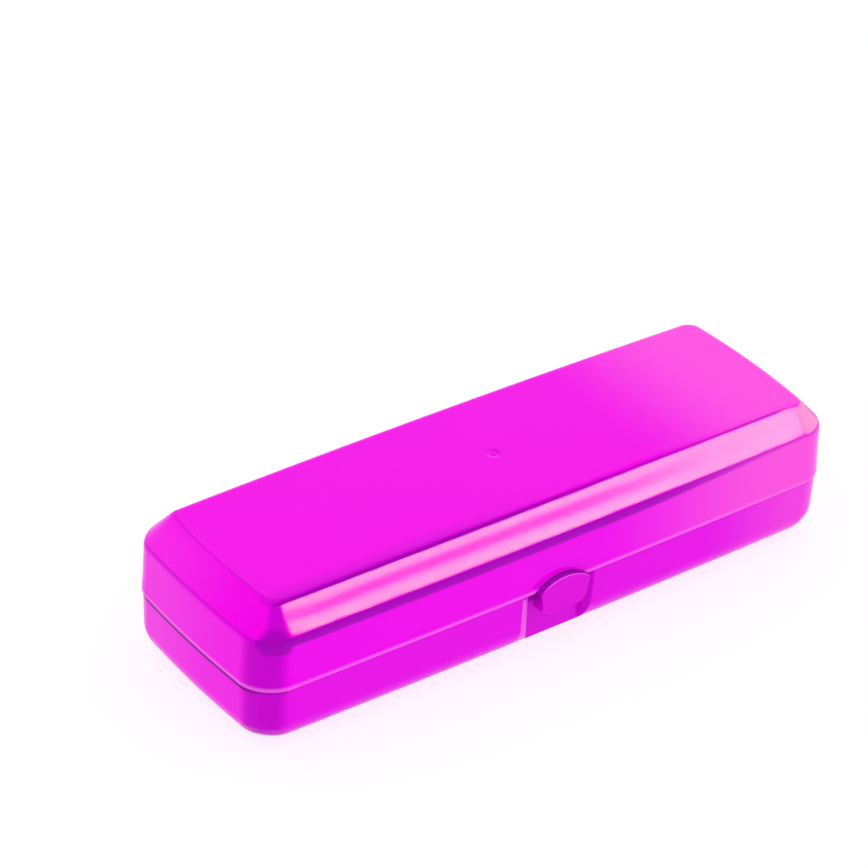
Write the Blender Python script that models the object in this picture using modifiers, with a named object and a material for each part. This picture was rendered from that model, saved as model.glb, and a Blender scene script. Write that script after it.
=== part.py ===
"""Travel case for a toothbrush and toothpaste: two moulded shells, a rear hinge and a front latch.

Metres, +Z up. The origin is the centre of the flat underside that the case rests on.
+X is the case's right end, -Y its front with the latch, +Y its back with the hinge.
"""

import math

import bmesh
import bpy
from mathutils import Vector

# Plan of the case, at the lid's widest line
CASE_LENGTH = 0.2000
CASE_WIDTH = 0.0665
CORNER_RADIUS = 0.0098
CORNER_TIGHTENING = 0.5
CHAMFER_TIGHTENING = 0.0030
INNER_CORNER_RADIUS = 0.0030
SIDE_BOW = 0.0009
END_BOW = 0.0014

# Heights
BASE_HEIGHT = 0.0196
LID_WALL_HEIGHT = 0.0160
CHAMFER_HEIGHT = 0.0081
LID_CROWN = 0.0005

# Sections of the two mouldings
WALL = 0.0014
FIT_GAP = 0.0003
BASE_FILLET = 0.0090
BASE_DRAFT = 0.0006
BASE_SETBACK = 0.0004
LID_DRAFT = 0.0004
CHAMFER_INSET = 0.0072
SHOULDER_RADIUS = 0.0032
TOP_EDGE_RADIUS = 0.0030
RIM_BEAD = 0.00025
RIM_BEAD_HEIGHT = 0.0012

# Lip inside the rim of the base, which centres the lid
LIP_HEIGHT = 0.0016
LIP_THICKNESS = 0.0009
LIP_ROOT = 0.0030
LIP_LEAD = 0.0003

# Thumb recess in the front of the base, and the arch over it in the lid
RECESS_WIDTH = 0.0244
RECESS_DEPTH = 0.0035
RECESS_FLARE = 0.0012
ARCH_WIDTH = 0.0192
ARCH_HEIGHT = 0.0040
CATCH_WIDTH = 0.0140
CATCH_RADIUS = 0.0009
CATCH_PROUD = 0.0006
CATCH_DROP = 0.0030

# Latch tab
PAD_WIDTH = 0.0169
PAD_FOOT_WIDTH = 0.0140
PAD_TOP_RADIUS = 0.0132
PAD_RISE = 0.0039
PAD_DROP = 0.0068
PAD_PROUD = 0.0022
PAD_SHOULDER_RADIUS = 0.0010
PAD_CORNER_RADIUS = 0.0025
PAD_EDGE_RADIUS = 0.0005
STEM_SIDE_GAP = 0.0022
STEM_TOP_GAP = 0.0011
STEM_FOOT_GAP = 0.0010
TAB_WALL = 0.0013
HOOK_DEPTH = 0.0005
HOOK_HEIGHT = 0.0012
TAB_ROOT_HEIGHT = 0.0013

# Rear hinge
HINGE_SPACING = 0.1100
KNUCKLE_RADIUS = 0.0019
KNUCKLE_WIDTH = 0.0100
EAR_WIDTH = 0.0040
LUG_REACH = 0.0060
PIN_RADIUS = 0.0008
PIN_HEAD_RADIUS = 0.0015
PIN_HEAD_HEIGHT = 0.0007

# Gate mark in the middle of the lid
GATE_RADIUS = 0.0022
GATE_DEPTH = 0.0003
GATE_NUB_RADIUS = 0.0007

# Fineness of the faceted surfaces, and how round a ring may get as it closes in on the middle
ROUNDEST_CORNER = 0.9
CORNER_STEPS = 8
SIDE_STEPS = 14
END_STEPS = 6
ARC_STEPS = 6
ROUND_STEPS = 24
TOP_STEPS = 4

# Colour of the dyed polypropylene, linear, and its finish
DYE = (0.87, 0.0, 0.84, 1.0)
PIN_DYE = (0.80, 0.0, 0.78, 1.0)
GLOSS_ROUGHNESS = 0.18

# Places that follow from the sizes above
PARTING = BASE_HEIGHT
LID_RIM = PARTING + FIT_GAP
SHOULDER = PARTING + LID_WALL_HEIGHT
LID_TOP = SHOULDER + CHAMFER_HEIGHT
FRONT = -CASE_WIDTH / 2
BACK = CASE_WIDTH / 2
RECESS_FLOOR = FRONT + RECESS_DEPTH
LIP_OUTER = WALL + FIT_GAP
LIP_INNER = LIP_OUTER + LIP_THICKNESS
HOOK_TIP = RECESS_FLOOR - CATCH_PROUD - FIT_GAP
TAB_BACK = HOOK_TIP - HOOK_DEPTH
STEM_TOP = PARTING + ARCH_HEIGHT - STEM_TOP_GAP
LATCH_AXIS = Vector((0.0, FRONT + WALL / 2, STEM_TOP))
HINGE_AXIS = Vector((0.0, BACK + RIM_BEAD + FIT_GAP + KNUCKLE_RADIUS, PARTING))
BORE_RADIUS = PIN_RADIUS + FIT_GAP
CUTTER_MARGIN = 0.004

# Turns that lay a flat outline across the front, or on edge along the hinge
FACING_FRONT = (math.pi / 2, 0.0, 0.0)
ALONG_HINGE = (math.pi / 2, 0.0, math.pi / 2)


def clear_scene():
    for old in list(bpy.data.objects):
        bpy.data.objects.remove(old, do_unlink=True)


def make_collection(name):
    collection = bpy.data.collections.new(name)
    bpy.context.scene.collection.children.link(collection)
    return collection


def make_material(name, colour):
    material = bpy.data.materials.new(name)
    material.use_nodes = True
    shader = material.node_tree.nodes["Principled BSDF"]
    shader.inputs["Base Color"].default_value = colour
    shader.inputs["Roughness"].default_value = GLOSS_ROUGHNESS
    shader.inputs["Metallic"].default_value = 0.0
    return material


def make_object(name, mesh, collection):
    thing = bpy.data.objects.new(name, mesh)
    collection.objects.link(thing)
    return thing


def make_pivot(name, place, collection, parent=None):
    """An empty on a joint's axis, which carries what turns about it."""
    pivot = bpy.data.objects.new(name, None)
    pivot.empty_display_size = 0.01
    collection.objects.link(pivot)
    pivot.location = place
    if parent:
        hang_on(pivot, parent)
    return pivot


def hang_on(thing, pivot):
    bpy.context.view_layer.update()
    thing.parent = pivot
    thing.matrix_parent_inverse = pivot.matrix_world.inverted()


def smooth(thing):
    thing.data.shade_smooth()
    thing.data.set_sharp_from_angle(angle=math.radians(30))


def combine(target, tool, operation):
    """Joins a tool body to the target, or cuts it away, and keeps the tool out of sight."""
    step = target.modifiers.new(tool.name, "BOOLEAN")
    step.operation = operation
    step.solver = "EXACT"
    step.object = tool
    tool.hide_render = True
    tool.display_type = "WIRE"
    if target.parent:
        hang_on(tool, target.parent)


def rounded_rectangle(half_x, half_y, radius):
    """Points of a rounded rectangle, anticlockwise seen from above, with points along its sides."""
    corners = [(1, 1, 0), (-1, 1, 90), (-1, -1, 180), (1, -1, 270)]
    arcs = []
    for sign_x, sign_y, start in corners:
        centre = Vector((sign_x * (half_x - radius), sign_y * (half_y - radius)))
        turns = [math.radians(start + 90 * step / CORNER_STEPS) for step in range(CORNER_STEPS + 1)]
        arcs.append([centre + radius * Vector((math.cos(turn), math.sin(turn))) for turn in turns])
    points = []
    for index, arc in enumerate(arcs):
        points += arc
        side_end = arcs[(index + 1) % 4][0]
        steps = SIDE_STEPS if index % 2 == 0 else END_STEPS
        points += [arc[-1].lerp(side_end, step / steps) for step in range(1, steps)]
    return points


def case_ring(inset, height):
    """The case's bowed outline, drawn in by an inset. Above the shoulder it tightens and is crowned."""
    half_x = CASE_LENGTH / 2 - END_BOW - inset
    half_y = CASE_WIDTH / 2 - SIDE_BOW - inset
    climb = min(max((height - SHOULDER) / CHAMFER_HEIGHT, 0.0), 1.0)
    radius = CORNER_RADIUS - CORNER_TIGHTENING * inset - CHAMFER_TIGHTENING * climb
    radius = min(max(radius, INNER_CORNER_RADIUS), half_y * ROUNDEST_CORNER)
    rise = LID_CROWN * climb
    ring = []
    for x, y in rounded_rectangle(half_x, half_y, radius):
        bow_x = END_BOW * (1 - (y / half_y) ** 2) * x / half_x
        bow_y = SIDE_BOW * (1 - (x / half_x) ** 2) * y / half_y
        crown = rise * (1 - (2 * x / CASE_LENGTH) ** 2)
        ring.append(Vector((x + bow_x, y + bow_y, height + crown)))
    return ring


def round_corners(points):
    """Turns each (across, up, radius) corner of an open line into an arc. A radius of 0 stays sharp."""
    line = [Vector(points[0][:2])]
    for before, corner, after in zip(points, points[1:], points[2:]):
        here = Vector(corner[:2])
        if corner[2] == 0:
            line.append(here)
            continue
        back = (Vector(before[:2]) - here).normalized()
        onward = (Vector(after[:2]) - here).normalized()
        half = back.angle(onward) / 2
        centre = here + (back + onward).normalized() * corner[2] / math.sin(half)
        start = (here + back * corner[2] / math.tan(half) - centre).normalized()
        end = (here + onward * corner[2] / math.tan(half) - centre).normalized()
        line += [centre + corner[2] * start.slerp(end, step / ARC_STEPS) for step in range(ARC_STEPS + 1)]
    line.append(Vector(points[-1][:2]))
    return line


def loft(name, profile, collection, ends="cap last", rising=True):
    """Skins the case's outline along a profile of (inset, height) points."""
    bm = bmesh.new()
    rings = [[bm.verts.new(point) for point in case_ring(inset, height)] for inset, height in profile]
    pairs = list(zip(rings, rings[1:]))
    if ends == "loop":
        pairs.append((rings[-1], rings[0]))
    for lower, upper in pairs:
        for index in range(len(lower)):
            after = (index + 1) % len(lower)
            bm.faces.new((lower[index], lower[after], upper[after], upper[index]))
    if ends in ("cap last", "cap both"):
        bm.faces.new(rings[-1])
    if ends == "cap both":
        bm.faces.new(reversed(rings[0]))
    if not rising:
        bmesh.ops.reverse_faces(bm, faces=bm.faces)
    mesh = bpy.data.meshes.new(name)
    bm.to_mesh(mesh)
    bm.free()
    return make_object(name, mesh, collection)


def plate(name, points, thickness, place, turn, collection):
    """A flat outline given its thickness, centred on its place."""
    curve = bpy.data.curves.new(name, "CURVE")
    curve.dimensions = "2D"
    curve.fill_mode = "BOTH"
    curve.extrude = thickness / 2
    spline = curve.splines.new("POLY")
    spline.points.add(len(points) - 1)
    for slot, (across, up) in zip(spline.points, points):
        slot.co = (across, up, 0.0, 1.0)
    spline.use_cyclic_u = True
    outline = make_object(name + "_outline", curve, collection)
    outline.location = place
    outline.rotation_euler = turn
    bpy.context.view_layer.update()
    ready = outline.evaluated_get(bpy.context.evaluated_depsgraph_get())
    mesh = bpy.data.meshes.new_from_object(ready)
    mesh.name = name
    bm = bmesh.new()
    bm.from_mesh(mesh)
    bmesh.ops.remove_doubles(bm, verts=bm.verts, dist=0.000001)
    bmesh.ops.recalc_face_normals(bm, faces=bm.faces)
    bm.to_mesh(mesh)
    bm.free()
    body = make_object(name, mesh, collection)
    body.matrix_world = outline.matrix_world.copy()
    bpy.data.objects.remove(outline)
    bpy.data.curves.remove(curve)
    return body


def block(name, low, high, collection):
    """A box between two corners."""
    low = Vector(low)
    high = Vector(high)
    bm = bmesh.new()
    bmesh.ops.create_cube(bm, size=1.0)
    bmesh.ops.scale(bm, vec=high - low, verts=bm.verts)
    bmesh.ops.translate(bm, vec=(low + high) / 2, verts=bm.verts)
    mesh = bpy.data.meshes.new(name)
    bm.to_mesh(mesh)
    bm.free()
    return make_object(name, mesh, collection)


def rod(name, radius, length, place, axis, collection, tip_radius=None):
    """A round bar, or a cone where its tip has another radius, centred on its place along an axis."""
    bm = bmesh.new()
    bmesh.ops.create_cone(
        bm,
        cap_ends=True,
        segments=ROUND_STEPS,
        radius1=radius,
        radius2=radius if tip_radius is None else tip_radius,
        depth=length,
    )
    mesh = bpy.data.meshes.new(name)
    bm.to_mesh(mesh)
    bm.free()
    bar = make_object(name, mesh, collection)
    bar.location = place
    bar.rotation_euler = Vector(axis).to_track_quat("Z", "Y").to_euler()
    return bar


def base_profile(depth=0.0):
    """Section of the base from its rim down to its floor, at a depth inside its outer face."""
    inset = BASE_SETBACK + depth
    foot = inset + BASE_DRAFT
    fillet = BASE_FILLET - depth
    return round_corners([(inset, PARTING, 0), (foot, depth, fillet), (foot + 2 * fillet, depth, 0)])


def lid_profile():
    """Section of the lid from its rim up the wall, over the chamfer and in across the top."""
    bead_top = LID_RIM + RIM_BEAD_HEIGHT
    edge = round_corners([
        (-RIM_BEAD, LID_RIM, 0),
        (-RIM_BEAD, bead_top, 0),
        (0.0, bead_top + RIM_BEAD, 0),
        (LID_DRAFT, SHOULDER, SHOULDER_RADIUS),
        (LID_DRAFT + CHAMFER_INSET, LID_TOP, TOP_EDGE_RADIUS),
        (2 * CHAMFER_INSET, LID_TOP, 0),
    ])
    span = CASE_WIDTH / 2 - SIDE_BOW - 2 * CHAMFER_INSET
    inner = [2 * CHAMFER_INSET + span * step / TOP_STEPS for step in range(1, TOP_STEPS)]
    return edge + [Vector((inset, LID_TOP)) for inset in inner]


def give_wall(shell):
    wall = shell.modifiers.new("wall", "SOLIDIFY")
    wall.thickness = WALL
    wall.offset = -1.0
    wall.use_even_offset = True
    wall.use_rim = True


def arch_points(half_width, rise, spring, foot):
    """An arch about the parting line: an arc that springs at one height, on legs down to its foot."""
    sagitta = rise - spring
    radius = (half_width ** 2 + sagitta ** 2) / (2 * sagitta)
    reach = math.asin(half_width / radius)
    turns = [reach * (1 - step / ARC_STEPS) for step in range(2 * ARC_STEPS + 1)]
    arc = [(radius * math.sin(turn), rise - radius * (1 - math.cos(turn))) for turn in turns]
    legs = [(-half_width, foot), (half_width, foot)] if foot < spring else []
    return legs + arc


def make_lip(cutters):
    """Raised lip inside the base's rim. It stops short of the latch on both sides."""
    root = BASE_SETBACK + WALL / 2
    section = [
        (root, PARTING - LIP_ROOT - LIP_THICKNESS),
        (root, PARTING - FIT_GAP),
        (LIP_OUTER, PARTING - FIT_GAP),
        (LIP_OUTER, PARTING + LIP_HEIGHT - LIP_LEAD),
        (LIP_OUTER + LIP_LEAD, PARTING + LIP_HEIGHT),
        (LIP_INNER, PARTING + LIP_HEIGHT),
        (LIP_INNER, PARTING - LIP_ROOT),
    ]
    lip = loft("rim_lip", section, cutters, ends="loop")
    half = RECESS_WIDTH / 2 + WALL + 2 * FIT_GAP
    low = (-half, FRONT - CUTTER_MARGIN, PARTING - LIP_ROOT - CUTTER_MARGIN)
    high = (half, FRONT + LIP_INNER + CUTTER_MARGIN, PARTING + LIP_HEIGHT + CUTTER_MARGIN)
    combine(lip, block("lip_stop_cutter", low, high, cutters), "DIFFERENCE")
    return lip


def make_recess_housing(cutters):
    """The wall that runs round the thumb recess inside the base, trimmed to the base's own form."""
    half = RECESS_WIDTH / 2 + WALL
    low = (-half, FRONT - CUTTER_MARGIN, -CUTTER_MARGIN)
    high = (half, RECESS_FLOOR + WALL, PARTING)
    housing = block("recess_housing", low, high, cutters)
    form = loft("base_form", base_profile(WALL / 2), cutters, ends="cap both", rising=False)
    combine(housing, form, "INTERSECT")
    return housing


def make_recess_cutter(cutters):
    """The thumb recess: straight sides with a flared mouth, open at the rim."""
    half = RECESS_WIDTH / 2
    flare = half + RECESS_FLARE + CUTTER_MARGIN / 2
    outline = [
        (-flare, FRONT - CUTTER_MARGIN),
        (flare, FRONT - CUTTER_MARGIN),
        (half, FRONT + RECESS_FLARE),
        (half, RECESS_FLOOR),
        (-half, RECESS_FLOOR),
        (-half, FRONT + RECESS_FLARE),
    ]
    height = BASE_HEIGHT + 2 * CUTTER_MARGIN
    place = (0.0, 0.0, BASE_HEIGHT / 2)
    return plate("recess_cutter", outline, height, place, (0.0, 0.0, 0.0), cutters)


def hinge_lug(name, centre_x, width, upward, cutters):
    """A barrel round the hinge axis with a web into the bowed wall, above the parting line or below."""
    far_x = abs(centre_x) + width / 2
    bow = SIDE_BOW * (2 * far_x / CASE_LENGTH) ** 2
    wall_face = BACK - bow - BASE_SETBACK - WALL / 2 - HINGE_AXIS.y
    edge = FIT_GAP + RIM_BEAD
    leave = math.asin(edge / KNUCKLE_RADIUS)
    steps = 3 * ARC_STEPS
    sweep = leave + math.radians(270)
    turns = [math.pi - leave + sweep * step / steps for step in range(steps + 1)]
    barrel = [(KNUCKLE_RADIUS * math.cos(turn), KNUCKLE_RADIUS * math.sin(turn)) for turn in turns]
    outline = [(wall_face, edge)] + barrel + [(wall_face, LUG_REACH)]
    sign = 1 if upward else -1
    points = [(across, sign * up) for across, up in outline]
    place = (centre_x, HINGE_AXIS.y, HINGE_AXIS.z)
    return plate(name, points, width, place, ALONG_HINGE, cutters)


def hinge_stations():
    return [("left", -HINGE_SPACING / 2), ("right", HINGE_SPACING / 2)]


def make_base(collection, cutters):
    base = loft("base_shell", base_profile(), collection, rising=False)
    give_wall(base)
    combine(base, make_recess_housing(cutters), "UNION")
    combine(base, make_lip(cutters), "UNION")
    combine(base, make_recess_cutter(cutters), "DIFFERENCE")
    catch_place = (0.0, RECESS_FLOOR + CATCH_RADIUS - CATCH_PROUD, PARTING - CATCH_DROP)
    catch = rod("catch_ridge", CATCH_RADIUS, CATCH_WIDTH, catch_place, (1, 0, 0), cutters)
    combine(base, catch, "UNION")
    for side, centre_x in hinge_stations():
        ear_offset = KNUCKLE_WIDTH / 2 + FIT_GAP + EAR_WIDTH / 2
        outward = math.copysign(ear_offset, centre_x)
        for hand, offset in (("inner", -outward), ("outer", outward)):
            name = f"{side}_{hand}_ear"
            combine(base, hinge_lug(name, centre_x + offset, EAR_WIDTH, False, cutters), "UNION")
        combine(base, make_bore(side + "_ear_bore", centre_x, cutters), "DIFFERENCE")
    smooth(base)
    return base


def make_bore(name, centre_x, cutters):
    length = KNUCKLE_WIDTH + 2 * (EAR_WIDTH + FIT_GAP) + 2 * CUTTER_MARGIN
    place = (centre_x, HINGE_AXIS.y, HINGE_AXIS.z)
    return rod(name, BORE_RADIUS, length, place, (1, 0, 0), cutters)


def add_gate_mark(lid, cutters):
    """A shallow conical dish in the middle of the lid with a low nub in it."""
    crest = LID_TOP + LID_CROWN
    up = (0, 0, 1)
    dish_place = (0, 0, crest)
    dish = rod("gate_dish", 0.0, 2 * GATE_DEPTH, dish_place, up, cutters, 2 * GATE_RADIUS)
    combine(lid, dish, "DIFFERENCE")
    nub_height = WALL / 2
    nub_place = (0, 0, crest - (GATE_DEPTH + nub_height) / 2)
    combine(lid, rod("gate_nub", GATE_NUB_RADIUS, nub_height, nub_place, up, cutters), "UNION")


def make_lid(collection, cutters, pivot):
    lid = loft("lid_shell", lid_profile(), collection)
    hang_on(lid, pivot)
    give_wall(lid)
    arch_half = ARCH_WIDTH / 2
    housing_outline = arch_points(arch_half + WALL, ARCH_HEIGHT + WALL, FIT_GAP, FIT_GAP)
    depth = RECESS_DEPTH + WALL / 2
    place = (0.0, FRONT + WALL / 2 + depth / 2, PARTING)
    combine(lid, plate("arch_housing", housing_outline, depth, place, FACING_FRONT, cutters), "UNION")
    arch_outline = arch_points(arch_half, ARCH_HEIGHT, 0.0, -CUTTER_MARGIN)
    depth = RECESS_DEPTH + CUTTER_MARGIN
    place = (0.0, RECESS_FLOOR - depth / 2, PARTING)
    combine(lid, plate("arch_cutter", arch_outline, depth, place, FACING_FRONT, cutters), "DIFFERENCE")
    for side, centre_x in hinge_stations():
        knuckle = hinge_lug(side + "_knuckle", centre_x, KNUCKLE_WIDTH, True, cutters)
        combine(lid, knuckle, "UNION")
        combine(lid, make_bore(side + "_knuckle_bore", centre_x, cutters), "DIFFERENCE")
    add_gate_mark(lid, cutters)
    smooth(lid)
    return lid


def pad_points():
    """The pad's outline about the parting line: arched top, tapered sides, rounded foot."""
    half = PAD_WIDTH / 2
    reach = math.asin(half / PAD_TOP_RADIUS)
    arch_centre = PAD_RISE - PAD_TOP_RADIUS
    top = []
    for step in range(1, ARC_STEPS):
        turn = reach * step / ARC_STEPS
        top.append((PAD_TOP_RADIUS * math.sin(turn), arch_centre + PAD_TOP_RADIUS * math.cos(turn), 0))
    shoulder = (half, arch_centre + PAD_TOP_RADIUS * math.cos(reach), PAD_SHOULDER_RADIUS)
    foot = (PAD_FOOT_WIDTH / 2, -PAD_DROP, PAD_CORNER_RADIUS)
    right = top + [shoulder, foot]
    left = [(-across, up, radius) for across, up, radius in reversed(right)]
    crest = (0.0, PAD_RISE, 0)
    return round_corners([crest] + right + left + [crest])[:-1]


def make_latch_tab(collection, cutters, pivot):
    """The tab that hangs from the lid's arch: a thumb pad with a hollow stem and a hook behind it."""
    thickness = PAD_PROUD - FIT_GAP
    place = (0.0, FRONT - FIT_GAP - thickness / 2, PARTING)
    tab = plate("latch_tab", pad_points(), thickness, place, FACING_FRONT, collection)
    hang_on(tab, pivot)
    edge = tab.modifiers.new("edge", "BEVEL")
    edge.width = PAD_EDGE_RADIUS
    edge.segments = 2
    edge.limit_method = "ANGLE"
    edge.angle_limit = math.radians(60)
    half = ARCH_WIDTH / 2 - STEM_SIDE_GAP
    foot = PARTING - PAD_DROP + STEM_FOOT_GAP
    front = FRONT - PAD_PROUD / 2
    stem_arch = arch_points(half, STEM_TOP - PARTING, 0.0, foot - PARTING)
    depth = TAB_BACK - front
    place = (0.0, front + depth / 2, PARTING)
    combine(tab, plate("tab_stem", stem_arch, depth, place, FACING_FRONT, cutters), "UNION")
    low = (-half + TAB_WALL, FRONT - PAD_PROUD + TAB_WALL, foot + TAB_WALL)
    high = (half - TAB_WALL, TAB_BACK + CUTTER_MARGIN, PARTING)
    combine(tab, block("tab_core", low, high, cutters), "DIFFERENCE")
    low = (-half, TAB_BACK - TAB_WALL, foot)
    high = (half, HOOK_TIP, foot + HOOK_HEIGHT)
    combine(tab, block("hook_bar", low, high, cutters), "UNION")
    root_half = half - TAB_WALL
    low = (-root_half, TAB_BACK - TAB_WALL, STEM_TOP - TAB_ROOT_HEIGHT - TAB_WALL)
    high = (root_half, RECESS_FLOOR - FIT_GAP, STEM_TOP - TAB_WALL)
    combine(tab, block("tab_root", low, high, cutters), "UNION")
    smooth(tab)
    return tab


def make_pin(side, centre_x, collection):
    """A headed pin, turned from its profile and laid along the hinge with its head outward."""
    span = KNUCKLE_WIDTH / 2 + FIT_GAP + EAR_WIDTH
    head = span + FIT_GAP
    tip = PIN_RADIUS / 2
    profile = [
        (0.0, head + PIN_HEAD_HEIGHT),
        (PIN_HEAD_RADIUS - tip, head + PIN_HEAD_HEIGHT),
        (PIN_HEAD_RADIUS, head + PIN_HEAD_HEIGHT - tip),
        (PIN_HEAD_RADIUS, head),
        (PIN_RADIUS, head),
        (PIN_RADIUS, tip - span),
        (PIN_RADIUS - tip, -span),
        (0.0, -span),
    ]
    bm = bmesh.new()
    points = [bm.verts.new((radius, 0.0, height)) for radius, height in profile]
    for start, end in zip(points, points[1:]):
        bm.edges.new((start, end))
    mesh = bpy.data.meshes.new("hinge_pin_" + side)
    bm.to_mesh(mesh)
    bm.free()
    pin = make_object("hinge_pin_" + side, mesh, collection)
    turn = pin.modifiers.new("turn", "SCREW")
    turn.axis = "Z"
    turn.steps = ROUND_STEPS
    turn.render_steps = ROUND_STEPS
    turn.use_merge_vertices = True
    turn.merge_threshold = 0.00001
    turn.use_smooth_shade = True
    outward = math.copysign(1, centre_x)
    pin.location = (centre_x, HINGE_AXIS.y, HINGE_AXIS.z)
    pin.rotation_euler = (0.0, outward * math.pi / 2, 0.0)
    return pin


def main():
    clear_scene()
    collection = make_collection("toothbrush_and_toothpaste_case")
    cutters = make_collection("case_cutters")
    lid_pivot = make_pivot("lid_pivot", HINGE_AXIS, collection)
    latch_pivot = make_pivot("latch_pivot", LATCH_AXIS, collection, lid_pivot)
    shells = [
        make_base(collection, cutters),
        make_lid(collection, cutters, lid_pivot),
        make_latch_tab(collection, cutters, latch_pivot),
    ]
    for piece in shells:
        piece.data.materials.append(make_material(piece.name + "_plastic", DYE))
    for side, centre_x in hinge_stations():
        pin = make_pin(side, centre_x, collection)
        pin.data.materials.append(make_material(pin.name + "_plastic", PIN_DYE))


main()
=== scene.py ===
"""Looks of a travel case for a toothbrush and toothpaste, in dyed and lightly cloudy polypropylene.

Metres, +Z up. The origin is the centre of the underside, +X the right end, -Y the front with the latch.
"""

import math

import bmesh
import bpy
from mathutils import Matrix, Vector


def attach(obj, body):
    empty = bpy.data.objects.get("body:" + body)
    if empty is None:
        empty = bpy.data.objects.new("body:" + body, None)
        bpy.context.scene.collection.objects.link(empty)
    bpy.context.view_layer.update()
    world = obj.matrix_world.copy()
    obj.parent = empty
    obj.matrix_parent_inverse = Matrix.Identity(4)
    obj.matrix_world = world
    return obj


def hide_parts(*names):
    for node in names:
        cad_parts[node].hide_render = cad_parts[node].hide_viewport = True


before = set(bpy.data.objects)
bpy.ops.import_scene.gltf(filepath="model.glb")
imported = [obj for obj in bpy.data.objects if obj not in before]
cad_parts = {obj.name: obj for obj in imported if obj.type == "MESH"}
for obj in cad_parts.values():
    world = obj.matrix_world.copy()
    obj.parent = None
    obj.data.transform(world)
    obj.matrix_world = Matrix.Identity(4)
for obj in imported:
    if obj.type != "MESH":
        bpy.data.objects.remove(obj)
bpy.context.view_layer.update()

# Plan of the case at the lid's widest line. The sections below are measured inwards from it.
CASE_LENGTH = 0.2000
CASE_WIDTH = 0.0665
CORNER_RADIUS = 0.0098
CORNER_TIGHTENING = 0.5
CHAMFER_TIGHTENING = 0.0030
INNER_CORNER_RADIUS = 0.0030
SIDE_BOW = 0.0009
END_BOW = 0.0014

# Heights
PARTING = 0.0196
SHOULDER = 0.0356
LID_TOP = 0.0437
LID_CROWN = 0.0005

# Sections of the two mouldings
WALL = 0.0014
FIT_GAP = 0.0003
BASE_FILLET = 0.0090
BASE_SETBACK = 0.0002
BASE_FOOT = 0.0006
FLOOR_INSET = 0.0150
LID_DRAFT = 0.0004
LID_WAIST = (0.00015, 0.0260)
CHAMFER_INSET = 0.0072
SHOULDER_RADIUS = 0.0032
TOP_EDGE_RADIUS = 0.0030
INNER_SHOULDER = 0.03506
INNER_TOP_INSET = 0.00823
RIM_BEAD = 0.00012
RIM_BEAD_HEIGHT = 0.0012
RIM_SWELL = 0.0014
RIM_ROUND = 0.0002

# Lip inside the base's rim, with its heights from the parting line
LIP_HEIGHT = 0.0016
LIP_BEVEL_START = 0.0013
LIP_BEVEL = 0.0003
LIP_THICKNESS = 0.0009
LIP_DEPTH = 0.0030
LIP_FOOT_DEPTH = 0.0038
LIP_GAP_HALF = 0.0142
LIP_GAP_DEPTH = 0.0066

# Thumb recess, arch and catch
RECESS_HALF = 0.0122
RECESS_DEPTH = 0.0035
RECESS_INNER_HALF = 0.0096
FLARE_RADIUS = 0.0033
FLARE_ANGLES = [math.radians(8 + 11 * step) for step in range(8)]
FLARE_RUN_OUT = (0.0022, 0.0060)
ARCH_RADIUS = 0.01352
ARCH_CROWN = 0.0236
ARCH_DEPTH = 0.0075
HOUSING_RADIUS = 0.01441
HOUSING_CROWN = 0.0250
CATCH_RADIUS = 0.0009
CATCH_WIDTH = 0.0140
CATCH_DROP = 0.0030
CATCH_SINK = 0.0003
CATCH_REACH = 0.0006

# Thumb tab: the pad, and the hollow stem with its hook
PAD_HALF = 0.00845
PAD_FOOT_HALF = 0.0070
PAD_TOP_RADIUS = 0.0132
PAD_RISE = 0.0039
PAD_DROP = 0.0068
PAD_PROUD = 0.0022
PAD_CORNER_RADIUS = 0.0025
PAD_SHOULDER_RADIUS = 0.0010
PAD_EDGE_RADIUS = 0.0005
STEM_HALF = 0.0074
STEM_TOP_RADIUS = 0.01089
STEM_RISE = 0.0029
STEM_SINK = 0.0011
STEM_FOOT_RISE = 0.0010
TAB_WALL = 0.0013
HOOK_DEPTH = 0.0005
HOOK_HEIGHT = 0.0012
HOOK_ROUND = 0.0002

# Hinge
HINGE_CLEARANCE = 0.00055
HINGE_SPACING = 0.1100
KNUCKLE_RADIUS = 0.0019
KNUCKLE_WIDTH = 0.0100
EAR_WIDTH = 0.0040
LUG_REACH = 0.0060
LUG_TOE = 0.0010
BORE_LENGTH = 0.026
PIN_RADIUS = 0.0008
PIN_HEAD_GROWTH = 1.875
PIN_HEAD_HEIGHT = 0.0007
PIN_HEAD_ROUND = 0.0004
PIN_CHAMFER = 0.0003

# Gate mark on the lid: a dish that a ball leaves, and a nub
GATE_BALL_RADIUS = 0.0082
GATE_DEPTH = 0.0003
GATE_CLEARANCE = 0.001
NUB_RADIUS = 0.0007
NUB_LENGTH = 0.0008
NUB_DROP = 0.0005
NUB_ROUND = 0.0001

# Places
FRONT = -CASE_WIDTH / 2
BACK = CASE_WIDTH / 2
LID_RIM = PARTING + FIT_GAP
RECESS_FLOOR = FRONT + RECESS_DEPTH
HINGE = Vector((0.0, BACK + HINGE_CLEARANCE + KNUCKLE_RADIUS, PARTING))
HINGE_PLACES = (-HINGE_SPACING / 2, HINGE_SPACING / 2)

# How far tool bodies reach past what they cut, and how near counts as the same place
OVERSHOOT = 0.004
HAIR = 0.00001
SAME_PLACE = 0.000001
MERGE_DISTANCE = 0.000005

# Fineness of the curved surfaces
CORNER_STEPS = 12
SIDE_STEPS = 24
END_STEPS = 10
ARC_STEPS = 7
SMALL_ARC_RADIUS = 0.0006
SMALL_ARC_STEPS = 2


# ---------------------------------------------------------------- hand tools

def deselect():
    if bpy.context.object and bpy.context.object.mode != "OBJECT":
        bpy.ops.object.mode_set(mode="OBJECT")
    bpy.ops.object.select_all(action="DESELECT")


def activate(piece):
    deselect()
    piece.select_set(True)
    bpy.context.view_layer.objects.active = piece


def label(piece, name):
    piece.name = name
    piece.data.name = name


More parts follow.
